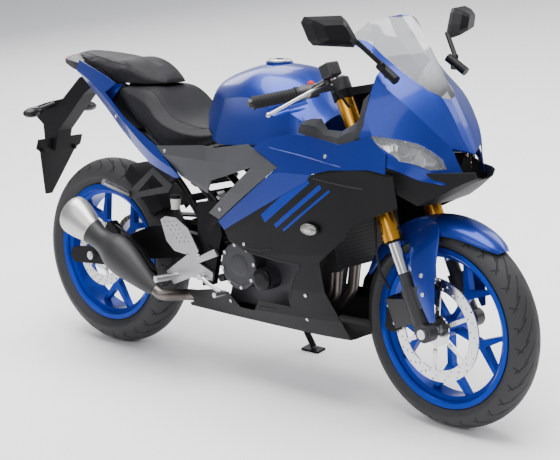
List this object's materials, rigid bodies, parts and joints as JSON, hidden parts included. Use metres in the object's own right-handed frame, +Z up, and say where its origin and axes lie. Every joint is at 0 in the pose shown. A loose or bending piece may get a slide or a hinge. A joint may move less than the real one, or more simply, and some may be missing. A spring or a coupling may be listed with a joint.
{
  "type": "sport motorcycle",
  "caption": "Full-fairing road sport motorcycle leaning on its side stand, with turning fork and wheels, a folding stand and a hinged fuel cap.",
  "frame": {"origin": "centre of the footprint box on the ground, with the motorcycle leaning on its side stand and its front wheel turned a little to the right", "axes": "+X forward along the motorcycle, +Y to the rider's left, +Z up from the ground"},
  "size_m": [2.0572, 0.7401, 1.1978],
  "materials": {
    "alloy": "cast and machined aluminium",
    "black_metal": "satin black paint",
    "black_plastic": "satin black plastic",
    "blue_paint": "gloss metallic blue paint",
    "blue_plastic": "gloss blue body panel",
    "cast_fork": "anodised casting",
    "clear_signal": "clear signal lens",
    "engine_grey": "dark coated cast aluminium",
    "gold": "gold anodised aluminium",
    "grey_plastic": "satin grey body panel",
    "lens": "clear lens",
    "red_lens": "red lens",
    "rubber": "soft black rubber",
    "seat": "seat cover",
    "smoke": "smoked screen",
    "steel": "brushed stainless steel",
    "tyre_rubber": "road tyre"
  },
  "bodies": {
    "chassis": {"belly_pan": "black_plastic", "chain": "steel", "chain_guard": "black_plastic", "engine": "engine_grey", "exhaust_header": "steel", "footrests": "alloy", "fuel_tank": "blue_paint", "headlights": "lens", "inner_trims": "black_plastic", "instrument_panel": "black_plastic", "lower_fairings": "black_plastic", "main_frame": "black_metal", "mirrors": "black_plastic", "muffler": "black_metal", "muffler_cover": "black_plastic", "nose_cowl": "blue_plastic", "nose_intake": "black_plastic", "nose_stay": "black_metal", "panel_stays": "black_metal", "pedals": "alloy", "pillion_seat": "seat", "plate_bracket": "black_plastic", "radiator": "black_metal", "rear_axle": "alloy", "rear_caliper": "black_metal", "rear_mudguard": "black_plastic", "rear_shock": "alloy", "rider_seat": "seat", "seat_stays": "black_metal", "shoulder_panels": "blue_plastic", "side_covers": "grey_plastic", "swingarm": "black_metal", "tail_light": "red_lens", "tail_panels": "blue_plastic", "turn_signals": "clear_signal", "windscreen": "smoke"},
    "steering": {"fork_uppers": "gold", "fork_lowers": "cast_fork", "fork_clamps": "black_metal", "handlebars": "black_metal", "front_axle": "alloy", "front_fender": "blue_plastic", "front_caliper": "black_metal", "front_brake_hose": "rubber"},
    "front_wheel": {"front_tyre": "tyre_rubber", "front_rim": "blue_paint", "front_disc": "steel"},
    "rear_wheel": {"rear_tyre": "tyre_rubber", "rear_rim": "blue_paint", "rear_disc": "steel", "sprocket": "steel"},
    "side_stand": {"side_stand": "black_metal"},
    "fuel_cap": {"fuel_cap": "alloy"}
  },
  "joints": [
    {"name": "steering", "type": "hinge", "parent": "chassis", "child": "steering", "pos_m": [0.70217, -0.13056, 0.27495], "axis": [-0.4226, 0.1418, 0.8951], "range_deg": [-29.5, 38.5]},
    {"name": "front_wheel_spin", "type": "hinge", "parent": "steering", "child": "front_wheel", "pos_m": [0.73626, -0.131, 0.29112], "axis": [0.0711, 0.9898, -0.1232], "continuous": true},
    {"name": "rear_wheel_spin", "type": "hinge", "parent": "chassis", "child": "rear_wheel", "pos_m": [-0.64363, -0.12478, 0.31144], "axis": [0, 0.9877, -0.1564], "continuous": true},
    {"name": "side_stand_fold", "type": "hinge", "parent": "chassis", "child": "side_stand", "pos_m": [-0.04363, 0.02966, 0.23433], "axis": [0, 0.9889, 0.1485], "range_deg": [0, 94]},
    {"name": "fuel_cap_lid", "type": "hinge", "parent": "chassis", "child": "fuel_cap", "pos_m": [0.12837, -0.0184, 0.98307], "axis": [0, 0.9877, -0.1564], "range_deg": [0, 85]}
  ]
}
